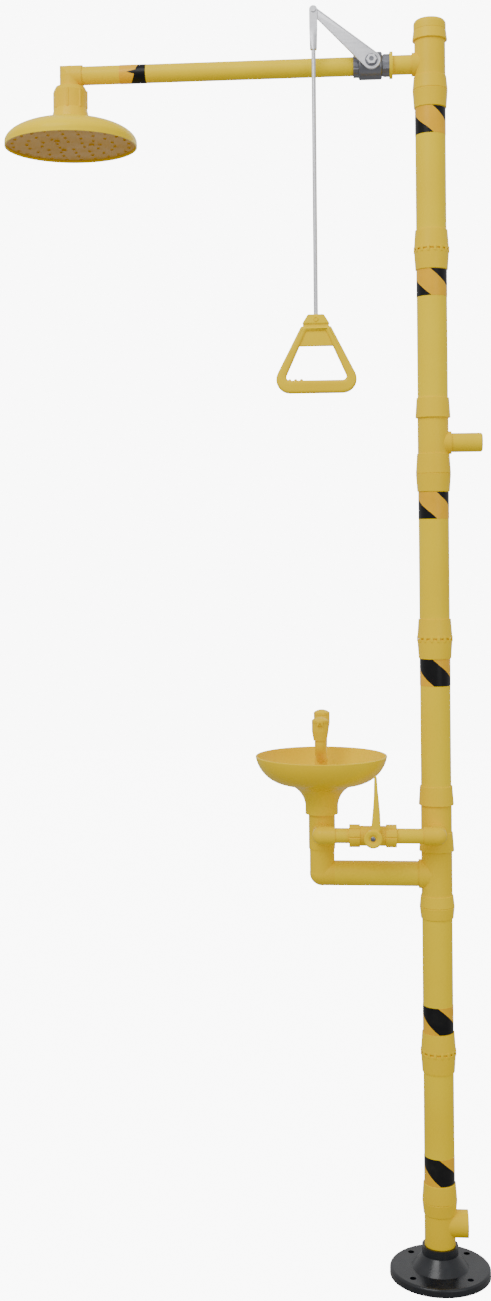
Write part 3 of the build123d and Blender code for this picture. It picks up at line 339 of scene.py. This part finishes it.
finishes = {
    "yellow_coat": makeYellow("yellowCoat", (0.92, 0.63, 0.0), (1.0, 0.73, 0.001), 0.34, 420.0, 0.05),
    "yellow_fitting": makeYellow("yellowFitting", (0.90, 0.58, 0.0), (0.98, 0.68, 0.0), 0.32, 260.0, 0.06),
    "yellow_shell": makeYellow("yellowShell", (0.94, 0.62, 0.0), (1.0, 0.72, 0.0), 0.26, 200.0, 0.04),
    "nozzle_plastic": makeYellow("nozzlePlastic", (0.90, 0.58, 0.0), (0.98, 0.68, 0.0), 0.36, 240.0, 0.05),
    # the blue in the foot's black stands in for the bluish sheen on the base's cone: painted reflection
    "foot_iron": makeDull("footIron", (0.002, 0.003, 0.006), (0.005, 0.007, 0.012), 0.27, 300.0, 0.2, 0.5),
    "valve_steel": makeMetal("valveSteel", (0.10, 0.10, 0.12), (0.34, 0.35, 0.39), 0.32, 120.0, 0.15),
    "lever_steel": makeMetal("leverSteel", (0.62, 0.62, 0.65), (0.86, 0.86, 0.89), 0.42, 220.0, 0.1),
    "seal_rubber": makeDull("sealRubber", (0.01, 0.01, 0.01), (0.025, 0.025, 0.025), 0.7, 500.0, 0.3),
    "seat_plastic": makeDull("seatPlastic", (0.70, 0.70, 0.66), (0.80, 0.80, 0.77), 0.5, 300.0, 0.1),
    "tape_film": makeColumnTape(stripes),
}
armTape = makeArmTape(stripes)
# darker, more orange copy of the shell yellow for the spray plate, its screws and the rims round its holes:
# painted shade for the head's underside, which lies in shadow
paintedShadeYellow = makeYellow("paintedShadeYellow", (0.60, 0.30, 0.0), (0.68, 0.35, 0.0), 0.34, 200.0, 0.04)
slots = {row["node"]: row["material_slot"] for row in frame["record"]["subparts"]}
for nodeName, node in nodes.items():
    node.data.materials.clear()
    node.data.materials.append(finishes[slots[nodeName]])
# the spray plate and its screws take the darker yellow, painted shade
for nodeName in ("spray_plate", "spray_plate_screws"):
    nodes[nodeName].data.materials[0] = paintedShadeYellow
print("materials ready")


# ---- mesh helpers ----

def roundedLoop(points, steps=5):
    # each point is x, y and a corner radius
    loop = []
    for i, (x, y, radius) in enumerate(points):
        here = Vector((x, y))
        before = Vector(points[i - 1][:2]) - here
        after = Vector(points[(i + 1) % len(points)][:2]) - here
        if radius <= 0:
            loop.append(here)
            continue
        half = before.angle(after) / 2
        reach = min(radius / math.tan(half), 0.49 * before.length, 0.49 * after.length)
        radius = reach * math.tan(half)
        middle = here + (before.normalized() + after.normalized()).normalized() * radius / math.sin(half)
        start = here + before.normalized() * reach - middle
        end = here + after.normalized() * reach - middle
        sweep = start.angle_signed(end)
        for n in range(steps + 1):
            angle = -sweep * n / steps
            loop.append(middle + Matrix.Rotation(angle, 2) @ start)
    return loop


def latheMesh(name, profile, segments=96):
    # closed profile of radius and height points, turned about Z
    mesh = bpy.data.meshes.new(name)
    shape = bmesh.new()
    rings = []
    for radius, height in profile:
        if radius < 1e-6:
            rings.append([shape.verts.new((0, 0, height))] * segments)
            continue
        ring = []
        for n in range(segments):
            angle = 2 * math.pi * n / segments
            ring.append(shape.verts.new((radius * math.cos(angle), radius * math.sin(angle), height)))
        rings.append(ring)
    for first, second in zip(rings, rings[1:] + rings[:1]):
        for n in range(segments):
            m = (n + 1) % segments
            corners = [first[n], first[m], second[m], second[n]]
            corners = [v for i, v in enumerate(corners) if v not in corners[:i]]
            if len(corners) > 2:
                shape.faces.new(corners)
    bmesh.ops.recalc_face_normals(shape, faces=shape.faces)
    shape.to_mesh(mesh)
    shape.free()
    return mesh


def plateMesh(name, loops, depth, edge):
    # flat plate in XY from closed loops, the second and later ones holes, with rounded edges
    curve = bpy.data.curves.new(name, "CURVE")
    curve.dimensions, curve.fill_mode = "2D", "BOTH"
    curve.extrude, curve.bevel_depth, curve.bevel_resolution = depth / 2 - edge, edge, 3
    curve.offset = -edge
    for loop in loops:
        spline = curve.splines.new("POLY")
        spline.points.add(len(loop) - 1)
        for point, (x, y) in zip(spline.points, loop):
            point.co = (x, y, 0, 1)
        spline.use_cyclic_u = True
    obj = bpy.data.objects.new(name, curve)
    bpy.context.collection.objects.link(obj)
    mesh = bpy.data.meshes.new_from_object(obj.evaluated_get(bpy.context.evaluated_depsgraph_get()))
    bpy.data.objects.remove(obj)
    weld = bmesh.new()
    weld.from_mesh(mesh)
    bmesh.ops.remove_doubles(weld, verts=weld.verts, dist=1e-6)
    bmesh.ops.recalc_face_normals(weld, faces=weld.faces)
    weld.to_mesh(mesh)
    weld.free()
    return mesh


def standUp(x, y, z):
    # lays a plate's X along world X and its Y along world Z, its face towards -Y
    return Matrix.Translation((x, y, z)) @ Matrix.Rotation(math.pi / 2, 4, "X")


def addPiece(name, mesh, finish, body, place=Matrix.Identity(4), stands=(), sharp=40):
    mesh.transform(place)
    mesh.name = name
    mesh.materials.clear()
    mesh.materials.append(finish)
    mesh.polygons.foreach_set("use_smooth", [True] * len(mesh.polygons))
    mesh.set_sharp_from_angle(angle=math.radians(sharp))
    obj = bpy.data.objects.new(name, mesh)
    bpy.context.collection.objects.link(obj)
    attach(obj, body)
    if stands:
        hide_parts(*stands)


def joinMeshes(name, parts):
    shape = bmesh.new()
    for mesh, place in parts:
        mesh.transform(place)
        shape.from_mesh(mesh)
    mesh = bpy.data.meshes.new(name)
    shape.to_mesh(mesh)
    shape.free()
    return mesh


# ---- geometry nodes for what repeats ----

def makeRingTree():
    tree = bpy.data.node_groups.new("ringOfPieces", "GeometryNodeTree")
    face = tree.interface
    face.new_socket("Geometry", in_out="INPUT", socket_type="NodeSocketGeometry")
    face.new_socket("Count", in_out="INPUT", socket_type="NodeSocketInt")
    face.new_socket("Radius", in_out="INPUT", socket_type="NodeSocketFloat")
    face.new_socket("Turn", in_out="INPUT", socket_type="NodeSocketFloat")
    face.new_socket("Finish", in_out="INPUT", socket_type="NodeSocketMaterial")
    face.new_socket("Geometry", in_out="OUTPUT", socket_type="NodeSocketGeometry")
    add, link = tree.nodes.new, tree.links.new
    entry, leave = add("NodeGroupInput"), add("NodeGroupOutput")
    circle, spot = add("GeometryNodeMeshCircle"), add("GeometryNodeInputPosition")
    aim, place = add("FunctionNodeAlignRotationToVector"), add("GeometryNodeInstanceOnPoints")
    turned, real = add("GeometryNodeTransform"), add("GeometryNodeRealizeInstances")
    paint, spin = add("GeometryNodeSetMaterial"), add("ShaderNodeCombineXYZ")
    aim.axis = "X"
    link(entry.outputs["Count"], circle.inputs["Vertices"])
    link(entry.outputs["Radius"], circle.inputs["Radius"])
    link(spot.outputs["Position"], aim.inputs["Vector"])
    link(circle.outputs["Mesh"], place.inputs["Points"])
    link(entry.outputs["Geometry"], place.inputs["Instance"])
    link(aim.outputs["Rotation"], place.inputs["Rotation"])
    link(entry.outputs["Turn"], spin.inputs["Z"])
    link(place.outputs["Instances"], turned.inputs["Geometry"])
    link(spin.outputs["Vector"], turned.inputs["Rotation"])
    link(turned.outputs["Geometry"], real.inputs["Geometry"])
    link(real.outputs["Geometry"], paint.inputs["Geometry"])
    link(entry.outputs["Finish"], paint.inputs["Material"])
    link(paint.outputs["Geometry"], leave.inputs["Geometry"])
    return tree


def makeSpotTree():
    # one piece on every vertex of the input; the vertex's own attributes stay with it
    tree = bpy.data.node_groups.new("pieceOnSpots", "GeometryNodeTree")
    face = tree.interface
    face.new_socket("Geometry", in_out="INPUT", socket_type="NodeSocketGeometry")
    face.new_socket("Piece", in_out="INPUT", socket_type="NodeSocketObject")
    face.new_socket("Finish", in_out="INPUT", socket_type="NodeSocketMaterial")
    face.new_socket("Geometry", in_out="OUTPUT", socket_type="NodeSocketGeometry")
    add, link = tree.nodes.new, tree.links.new
    entry, leave = add("NodeGroupInput"), add("NodeGroupOutput")
    info, place = add("GeometryNodeObjectInfo"), add("GeometryNodeInstanceOnPoints")
    real, paint = add("GeometryNodeRealizeInstances"), add("GeometryNodeSetMaterial")
    link(entry.outputs["Piece"], info.inputs["Object"])
    link(entry.outputs["Geometry"], place.inputs["Points"])
    link(info.outputs["Geometry"], place.inputs["Instance"])
    link(place.outputs["Instances"], real.inputs["Geometry"])
    link(real.outputs["Geometry"], paint.inputs["Geometry"])
    link(entry.outputs["Finish"], paint.inputs["Material"])
    link(paint.outputs["Geometry"], leave.inputs["Geometry"])
    return tree


ringTree, spotTree = makeRingTree(), makeSpotTree()


def runTree(tree, mesh, values):
    obj = bpy.data.objects.new("treeHost", mesh)
    bpy.context.collection.objects.link(obj)
    modifier = obj.modifiers.new("tree", "NODES")
    modifier.node_group = tree
    for item in tree.interface.items_tree:
        if item.in_out == "INPUT" and item.name in values:
            modifier[item.identifier] = values[item.name]
    graph = bpy.context.evaluated_depsgraph_get()
    made = bpy.data.meshes.new_from_object(obj.evaluated_get(graph), preserve_all_data_layers=True,
                                           depsgraph=graph)
    obj.modifiers.remove(modifier)
    bpy.data.objects.remove(obj)
    return made


def ringOf(mesh, count, radius, finish, turn):
    return runTree(ringTree, mesh, {"Count": count, "Radius": radius, "Turn": turn, "Finish": finish})


def spotsOf(mesh, spots, finish, attributes=None):
    piece = bpy.data.objects.new("spotPiece", mesh)
    bpy.context.collection.objects.link(piece)
    points = bpy.data.meshes.new("spots")
    points.from_pydata(spots, [], [])
    for label, values in (attributes or {}).items():
        points.attributes.new(label, "FLOAT", "POINT").data.foreach_set("value", values)
    made = runTree(spotTree, points, {"Piece": piece, "Finish": finish})
    bpy.data.objects.remove(piece)
    return made


def blockMesh(sizeX, sizeY, sizeZ, edge):
    # small block with bevelled edges, centred
    mesh = bpy.data.meshes.new("block")
    shape = bmesh.new()
    bmesh.ops.create_cube(shape, size=1.0)
    bmesh.ops.scale(shape, vec=(sizeX, sizeY, sizeZ), verts=shape.verts)
    bmesh.ops.bevel(shape, geom=shape.edges[:], offset=edge, segments=2, profile=0.6, affect="EDGES")
    shape.to_mesh(mesh)
    shape.free()
    return mesh


# ---- warning tape ----

tape = {"columnRadius": stripes["radius"], "armRadius": stripes["armRadius"], "gap": 0.00005,
        "thickness": 0.00035, "length": 0.050, "armLow": -0.589, "armHeight": stripes["armHeight"],
        "lows": [0.175, 0.459, 1.112, 1.426, 1.844, 2.148],
        "blackCentred": [True, True, True, False, False, False],
        "shift": [0.0, 0.0, -0.0035, 0.0035, -0.0025, 0.003]}


def bandMesh(radius, t):
    inner, outer = radius + t["gap"], radius + t["gap"] + t["thickness"]
    half = t["length"] / 2
    return latheMesh("band", [(inner, -half), (outer, -half), (outer, half), (inner, half)], 128)


def addTapes(t, s):
    spots, phases = [], []
    for low, black, shift in zip(t["lows"], t["blackCentred"], t["shift"]):
        middle = low + t["length"] / 2
        spots.append((0, 0, middle))
        phases.append((0.75 if black else 0.25) * s["period"] - middle - shift)
    mesh = spotsOf(bandMesh(t["columnRadius"], t), spots, finishes["tape_film"], {"bandPhase": phases})
    addPiece("columnTapes", mesh, finishes["tape_film"], "stand", stands=("hazard_tapes",))
    place = Matrix.Translation((t["armLow"] + t["length"] / 2, 0, t["armHeight"]))
    place = place @ Matrix.Rotation(math.pi / 2, 4, "Y")
    addPiece("armTapeBand", bandMesh(t["armRadius"], t), armTape, "stand", place,
             stands=("hazard_tapes",))


addTapes(tape, stripes)
print("tapes ready")


# ---- grip lugs on the couplings ----

lugs = {"heights": [0.421, 1.200, 1.932], "radius": 0.0325, "count": 16, "size": (0.0026, 0.0052, 0.0105),
        "edge": 0.0007, "turn": 0.16}


def addLugs(g):
    for n, height in enumerate(g["heights"]):
        block = blockMesh(*g["size"], g["edge"])
        mesh = ringOf(block, g["count"], g["radius"], finishes["yellow_fitting"], g["turn"])
        addPiece(f"couplingLugs{n + 1}", mesh, finishes["yellow_fitting"], "stand",
                 Matrix.Translation((0, 0, height)))


addLugs(lugs)
print("coupling lugs ready")


# ---- pull handle ----

grip = {"x": -0.217756, "y": -0.0375, "z": 1.663, "depth": 0.018, "edge": 0.0052, "webDepth": 0.009,
        "neckDepth": 0.0135, "webEdge": 0.0012, "neckEdge": 0.0010, "topEdge": 0.0022,
        "ridges": 3, "ridgePitch": 0.011, "ridgeStart": -0.050, "ridgeHeight": 0.0242,
        "ridgeRadius": 0.0030, "ridgeEnd": 0.0024, "ridgeHalf": 0.0045, "screwHeight": 0.138,
        # the screw's outline: radius and height
        "screw": [(0, 0.0005), (0.0030, 0.0005), (0.0030, 0.0016), (0.0042, 0.0016), (0.0050, 0.0008),
                  (0.0050, -0.002), (0, -0.002)],
        # the plates' corners: x, height and corner radius, in millimetres
        "outline": [(-28, 125, 4), (-91.8, 0, 26), (91.8, 0, 26), (28, 125, 4)],
        "opening": [(-60, 24, 7), (-18.5, 116, 5), (18.5, 116, 5), (60, 24, 7)],
        "web": [(-36, 88, 0), (-18, 121, 0), (18, 121, 0), (36, 88, 0)],
        "neck": [(-25, 121, 1), (-24, 131, 1), (24, 131, 1), (25, 121, 1)],
        "top": [(-26.5, 128.5, 2), (-15, 147, 3.5), (15, 147, 3.5), (26.5, 128.5, 2)]}


def addHandle(g):
    mm = 0.001

    def loop(word):
        return roundedLoop([(x * mm, y * mm, r * mm) for x, y, r in g[word]], 8)

    stand = standUp(g["x"], g["y"], g["z"])
    half, end = g["ridgeHalf"], g["ridgeEnd"]
    ridge = latheMesh("ridge", [(0, -half), (end, -half), (g["ridgeRadius"], 0), (end, half), (0, half)], 20)
    spots = [(g["ridgeStart"] + n * g["ridgePitch"], g["ridgeHeight"], 0) for n in range(g["ridges"])]
    ridges = spotsOf(ridge, spots, finishes["yellow_shell"])
    parts = [
        (plateMesh("frame", [loop("outline"), loop("opening")], g["depth"], g["edge"]), stand),
        (plateMesh("web", [loop("web")], g["webDepth"], g["webEdge"]), stand),
        (plateMesh("neck", [loop("neck")], g["neckDepth"], g["neckEdge"]), stand),
        (plateMesh("top", [loop("top")], g["depth"], g["topEdge"]), stand),
        (ridges, stand),
    ]
    addPiece("handleGrip", joinMeshes("handleGrip", parts), finishes["yellow_shell"], "pull_rod",
             stands=("pull_handle",), sharp=35)
    # clamping screw in the head of the handle, sunk in a small collar
    place = standUp(g["x"], g["y"] - g["depth"] / 2, g["z"] + g["screwHeight"])
    addPiece("handleScrew", latheMesh("screw", g["screw"], 32), finishes["yellow_shell"], "pull_rod", place)


addHandle(grip)
print("handle ready")


# ---- shower lever, its nut and washer ----

lever = {"hub": (-0.110, 2.283), "eye": (-0.217756, 2.380024), "y": -0.0375, "thickness": 0.005,
         "hubRadius": 0.017, "eyeRadius": 0.0065, "edge": 0.0011, "railWidth": 0.0022, "railHeight": 0.0012,
         "railInset": 0.0002, "railEdge": 0.0004, "washerRadius": 0.0118, "washerEdge": 0.0006,
         "washerThickness": 0.002}


def taperLoop(first, second, firstRadius, secondRadius, steps=18):
    # outline of a link with a round end at each point
    axis = Vector(second) - Vector(first)
    tilt = math.atan2(axis.y, axis.x)
    spread = math.acos((firstRadius - secondRadius) / axis.length)
    loop = []
    for centre, radius, start, end in ((first, firstRadius, spread, 2 * math.pi - spread),
                                       (second, secondRadius, -spread, spread)):
        for n in range(steps + 1):
            angle = tilt + start + (end - start) * n / steps
            loop.append((centre[0] + radius * math.cos(angle), centre[1] + radius * math.sin(angle)))
    return loop


def addShowerLever(g):
    def bladeLoop(inset):
        return taperLoop(g["hub"], g["eye"], g["hubRadius"] - inset, g["eyeRadius"] - inset)

    plate = plateMesh("blade", [bladeLoop(0)], g["thickness"], g["edge"])
    # pressed channel: a thin raised edge around the blade's face
    rim = plateMesh("rim", [bladeLoop(g["railInset"]), bladeLoop(g["railWidth"])], 2 * g["railHeight"],
                    g["railEdge"])
    face = g["y"] - g["thickness"] / 2
    parts = [(plate, standUp(0, g["y"], 0)), (rim, standUp(0, face + g["railEdge"], 0))]
    addPiece("leverBlade", joinMeshes("leverBlade", parts), finishes["lever_steel"], "shower_lever",
             stands=("shower_lever",), sharp=30)
    radius, edge, thick = g["washerRadius"], g["washerEdge"], g["washerThickness"]
    washer = latheMesh("washer", [(0, 0), (radius - edge, 0), (radius, edge), (radius, thick - edge),
                                  (radius - edge, thick), (0, thick)], 48)
    addPiece("leverWasher", washer, finishes["valve_steel"], "shower_lever",
             standUp(g["hub"][0], face, g["hub"][1]), sharp=30)


addShowerLever(lever)
print("shower lever ready")


# ---- eyewash valve lever ----

flag = {"x": -0.120, "back": -0.084, "z": 0.838, "thickness": 0.006, "hubThickness": 0.010,
        "hubRadius": 0.017, "offset": 0.005, "belly": 0.009, "tip": 0.003, "length": 0.116, "edge": 0.0022,
        "tipRound": 0.004, "sideRound": 0.012, "hubStep": 0.001, "sinkMouth": 0.0095, "sinkRadius": 0.0078,
        "sinkRound": 0.0012, "sinkDepth": 0.0034,
        # the screw's outline: radius and height
        "screw": [(0, 0), (0.0046, 0), (0.0046, 0.0008), (0.0038, 0.0016), (0.0016, 0.0018),
                  (0.0014, 0.0010), (0, 0.0010)]}


def addFlagLever(g):
    offset, belly, tip, top = g["offset"], g["belly"], g["tip"], g["length"]
    right = [(belly, 0.010), (belly * 0.98, 0.030), (belly * 0.92, 0.046), (belly * 0.74, 0.066),
             (tip * 1.35, 0.092), (tip, top - 0.002)]
    left = [(-tip * 0.7, top), (-tip * 0.9, 0.098), (-belly * 0.38, 0.074), (-belly * 0.58, 0.052),
            (-belly * 0.82, 0.030), (-belly, 0.010)]
    tipRound, sideRound = g["tipRound"], g["sideRound"]
    sides = [(x + offset, y, tipRound if y > top - tipRound else sideRound) for x, y in right + left]
    blade = plateMesh("blade", [roundedLoop(sides, 4)], g["thickness"], g["edge"])
    thick, radius, step, edge = g["hubThickness"], g["hubRadius"], g["hubStep"], g["edge"]
    seat = thick - g["sinkDepth"]
    hub = latheMesh("hub", [(0, 0), (radius - step, 0), (radius, step), (radius, thick - edge),
                            (radius - edge, thick), (g["sinkMouth"], thick),
                            (g["sinkRadius"], thick - g["sinkRound"]), (g["sinkRadius"], seat),
                            (0, seat)], 64)
    parts = [(blade, standUp(g["x"], g["back"] - g["thickness"] / 2, g["z"])),
             (hub, standUp(g["x"], g["back"], g["z"]))]
    addPiece("flagLever", joinMeshes("flagLever", parts), finishes["yellow_shell"], "eyewash_lever",
             stands=("eyewash_lever",))
    addPiece("flagScrew", latheMesh("screw", g["screw"], 32), finishes["valve_steel"], "eyewash_lever",
             standUp(g["x"], g["back"] - seat, g["z"]))


addFlagLever(flag)
print("eyewash lever ready")


# ---- raised rims round the spray plate's holes ----

spray = {"x": -0.686, "z": 2.150, "step": 0.028, "rings": 4, "hole": 0.0021, "rim": 0.0034, "height": 0.0012,
         "sunk": 0.0002, "taper": 0.0005, "firstRing": 6, "turn": 30}


def addSprayRims(g):
    profile = [(g["hole"], g["sunk"]), (g["rim"], g["sunk"]), (g["rim"] - g["taper"], -g["height"]),
               (g["hole"], -g["height"])]
    parts = []
    for n in range(1, g["rings"] + 1):
        # the rims take the same darker yellow as the plate, painted shade for the head's underside
        rims = ringOf(latheMesh("rim", profile, 16), g["firstRing"] * n, g["step"] * n, paintedShadeYellow,
                      math.radians(g["turn"]))
        parts.append((rims, Matrix.Translation((g["x"], 0, g["z"]))))
    addPiece("sprayRims", joinMeshes("sprayRims", parts), paintedShadeYellow, "stand")


addSprayRims(spray)
print("spray plate ready")
